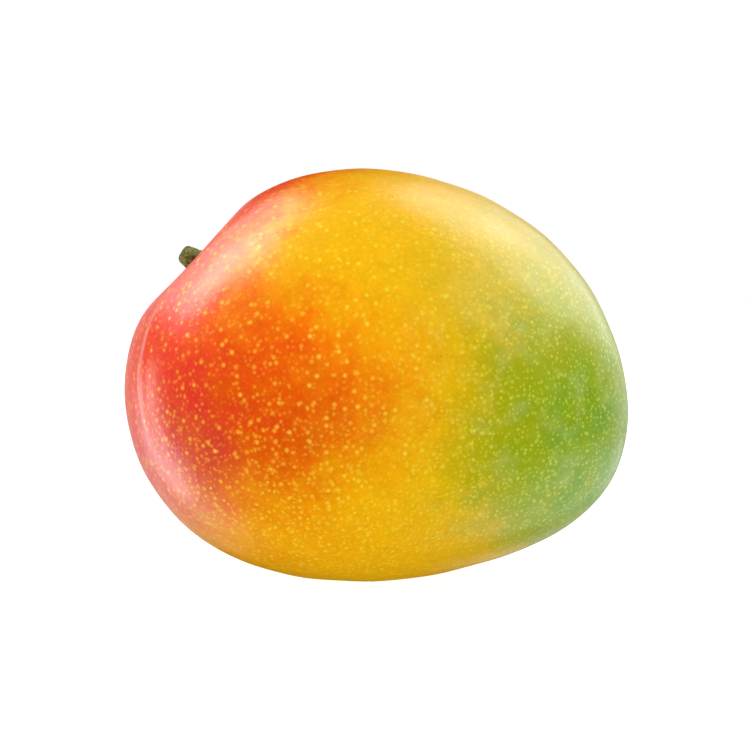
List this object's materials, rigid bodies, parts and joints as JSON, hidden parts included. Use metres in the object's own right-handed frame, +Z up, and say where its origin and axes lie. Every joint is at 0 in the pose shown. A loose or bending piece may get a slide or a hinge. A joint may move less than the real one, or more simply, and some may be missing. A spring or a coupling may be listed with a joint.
{
  "type": "mango",
  "caption": "Plump, slightly kidney-shaped mango with waxy skin that runs from red through yellow to green, and a short cut stem in its hollow.",
  "frame": {"origin": "middle of the small flat spot on the narrow lower edge that the fruit rests on", "axes": "+Z up, +X from the stem end to the beak at the tip, +Y towards the cheek that faces away from the picture's view"},
  "size_m": [0.1263, 0.0898, 0.1029],
  "materials": {
    "skin": "smooth waxy fruit skin, satin, red at the stem end, yellow in the middle and green at the tip, with pale dots",
    "stem": "matt, dry green-brown bark with a pale cut end"
  },
  "bodies": {
    "root": {"fruit": "skin", "stem": "stem"}
  },
  "joints": []
}
